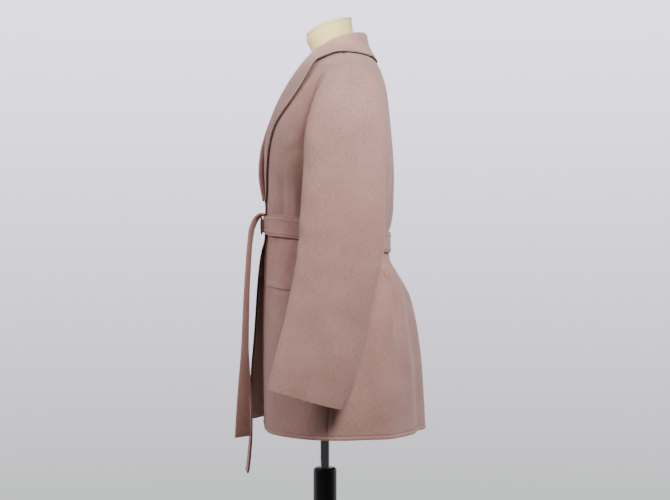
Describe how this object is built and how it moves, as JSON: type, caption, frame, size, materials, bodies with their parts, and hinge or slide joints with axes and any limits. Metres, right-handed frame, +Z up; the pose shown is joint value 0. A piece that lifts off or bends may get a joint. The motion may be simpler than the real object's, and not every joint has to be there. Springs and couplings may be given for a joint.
{
  "type": "belted jacket on a dress form",
  "caption": "Wrap jacket in felted wool with a shawl collar, welt pockets and a tied cloth belt, worn by a limbless dress form on a pole and round base.",
  "frame": {"origin": "centre of the round base's underside, on the pole's axis, on the floor", "axes": "+Z up along the pole, -X towards the wearer's front, -Y towards the wearer's left side"},
  "size_m": [0.3882, 0.6104, 1.5651],
  "materials": {
    "rose_wool": "felted double-faced wool with a soft level nap",
    "cream_cover": "smooth closely fitted cotton jersey",
    "chrome": "polished",
    "black_metal": "satin black"
  },
  "bodies": {
    "root": {"back": "rose_wool", "front_left": "rose_wool", "front_right": "rose_wool", "sleeve_left": "rose_wool", "sleeve_right": "rose_wool", "collar_left": "rose_wool", "collar_right": "rose_wool", "pocket_welt_left": "rose_wool", "pocket_welt_right": "rose_wool", "belt": "rose_wool", "belt_knot": "rose_wool", "belt_end_near": "rose_wool", "belt_end_far": "rose_wool", "form_torso": "cream_cover", "form_cap": "cream_cover", "pole": "chrome", "pole_sleeve": "black_metal", "base": "black_metal"}
  },
  "joints": []
}
